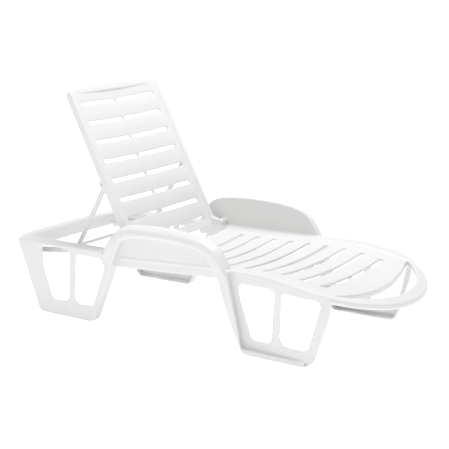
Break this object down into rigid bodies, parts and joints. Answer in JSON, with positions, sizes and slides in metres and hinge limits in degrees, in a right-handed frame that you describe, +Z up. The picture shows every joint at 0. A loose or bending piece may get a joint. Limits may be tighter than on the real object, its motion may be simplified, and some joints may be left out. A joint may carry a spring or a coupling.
{
  "type": "reclining sun lounger",
  "caption": "Moulded resin sun lounger on four windowed legs, with arched armrests, a slatted hollowed seat, a folding slatted back held by a bail, and a bow handle at the foot.",
  "frame": {"origin": "on the floor, under the middle of the lounger's outer box at rest", "axes": "+X towards the foot end, +Y towards the left side of a person lying on it, +Z up"},
  "size_m": [1.86, 0.7, 0.9749],
  "materials": {
    "moulded_resin": "white moulded polypropylene, satin with a fine moulded grain",
    "bail_resin": "white moulded polypropylene, satin",
    "pin_resin": "white moulded nylon, a little glossier than the frame"
  },
  "bodies": {
    "frame": {"seat_deck": "moulded_resin", "seat_front": "moulded_resin", "seat_toe": "moulded_resin", "seat_spine": "moulded_resin", "hip_beam": "moulded_resin", "thigh_beam": "moulded_resin", "rail_right": "moulded_resin", "rail_left": "moulded_resin", "head_leg_right": "moulded_resin", "head_leg_left": "moulded_resin", "foot_leg_right": "moulded_resin", "foot_leg_left": "moulded_resin", "head_leg_wall_right": "moulded_resin", "head_leg_wall_left": "moulded_resin", "foot_leg_wall_right": "moulded_resin", "foot_leg_wall_left": "moulded_resin", "armrest_right": "moulded_resin", "armrest_left": "moulded_resin", "side_panel_right": "moulded_resin", "side_panel_left": "moulded_resin", "head_crossbar": "moulded_resin", "foot_bow": "moulded_resin", "notch_rack_right": "moulded_resin", "notch_rack_left": "moulded_resin", "hinge_bracket_right": "moulded_resin", "hinge_bracket_left": "moulded_resin", "hinge_pin_right": "pin_resin", "hinge_pin_left": "pin_resin"},
    "back": {"back_panel": "moulded_resin", "back_rail_right": "moulded_resin", "back_rail_left": "moulded_resin", "back_top_rail": "moulded_resin", "bail_pin_right": "pin_resin", "bail_pin_left": "pin_resin"},
    "bail": {"bail_arm_right": "bail_resin", "bail_arm_left": "bail_resin", "bail_rod": "bail_resin"}
  },
  "joints": [
    {"name": "back_recline", "type": "hinge", "parent": "frame", "child": "back", "pos_m": [-0.182, 0, 0.33], "axis": [0, 1, 0], "range_deg": [-60, 6]},
    {"name": "bail_swing", "type": "hinge", "parent": "back", "child": "bail", "pos_m": [-0.37362, 0, 0.58145], "axis": [0, 1, 0], "range_deg": [-11.4, 113.1]}
  ],
  "couplings": [
    {"joint": "bail_swing", "follows": "back_recline", "ratio": -1.884}
  ]
}
